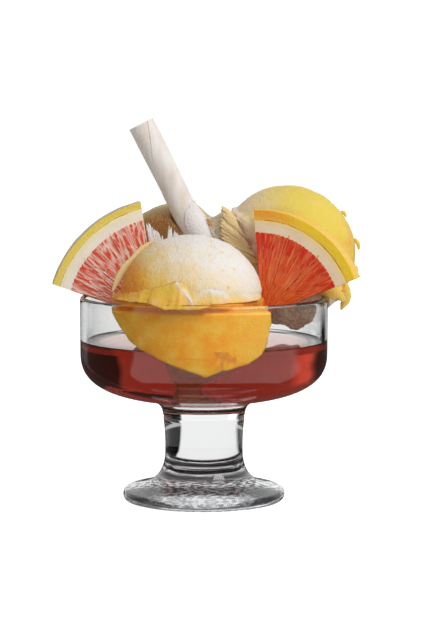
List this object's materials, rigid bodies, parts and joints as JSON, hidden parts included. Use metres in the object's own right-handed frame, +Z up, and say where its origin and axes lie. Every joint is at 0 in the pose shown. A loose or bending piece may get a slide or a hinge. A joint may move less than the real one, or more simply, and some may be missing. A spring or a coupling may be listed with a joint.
{
  "type": "ice cream bowl",
  "caption": "Footed clear glass ice cream bowl with a straight-sided cup, served with syrup, lift-out ice cream scoops, citrus wedges and a rolled wafer.",
  "frame": {"origin": "middle of the foot's flat underside, on the table", "axes": "+Z up along the glass's axis, -Y towards the viewer of the serving, +X to the viewer's right"},
  "size_m": [0.1312, 0.1157, 0.1618],
  "materials": {
    "clear_glass": "polished",
    "syrup": "liquid gloss",
    "ice_cream": "frosted, slightly wet",
    "citrus_zest": "waxy with fine pores",
    "citrus_pith": "spongy matte",
    "citrus_flesh": "wet",
    "wafer": "dry baked"
  },
  "bodies": {
    "glass": {"bowl": "clear_glass", "stem": "clear_glass", "foot": "clear_glass", "syrup": "syrup"},
    "front_scoop": {"front_scoop": "ice_cream"},
    "left_scoop": {"left_scoop": "ice_cream"},
    "right_scoop": {"right_scoop": "ice_cream"},
    "wafer": {"wafer_roll": "wafer"},
    "left_wedge": {"left_wedge_zest": "citrus_zest", "left_wedge_pith": "citrus_pith", "left_wedge_segment_1": "citrus_flesh", "left_wedge_segment_2": "citrus_flesh", "left_wedge_segment_3": "citrus_flesh"},
    "right_wedge": {"right_wedge_zest": "citrus_zest", "right_wedge_pith": "citrus_pith", "right_wedge_segment_1": "citrus_flesh", "right_wedge_segment_2": "citrus_flesh", "right_wedge_segment_3": "citrus_flesh"}
  },
  "joints": [
    {"name": "front_scoop_lift", "type": "slide", "parent": "glass", "child": "front_scoop", "axis": [0, 0, 1], "range_m": [0, 0.07]},
    {"name": "left_scoop_lift", "type": "slide", "parent": "glass", "child": "left_scoop", "axis": [0, 0, 1], "range_m": [0, 0.07]},
    {"name": "right_scoop_lift", "type": "slide", "parent": "glass", "child": "right_scoop", "axis": [0, 0, 1], "range_m": [0, 0.07]},
    {"name": "wafer_pull", "type": "slide", "parent": "left_scoop", "child": "wafer", "axis": [-0.4478, 0, 0.8942], "range_m": [0, 0.04]},
    {"name": "left_wedge_lift", "type": "slide", "parent": "glass", "child": "left_wedge", "axis": [-0.5942, -0.0835, 0.8], "range_m": [0, 0.05]},
    {"name": "right_wedge_lift", "type": "slide", "parent": "glass", "child": "right_wedge", "axis": [0.5706, -0.1854, 0.8], "range_m": [0, 0.05]}
  ]
}
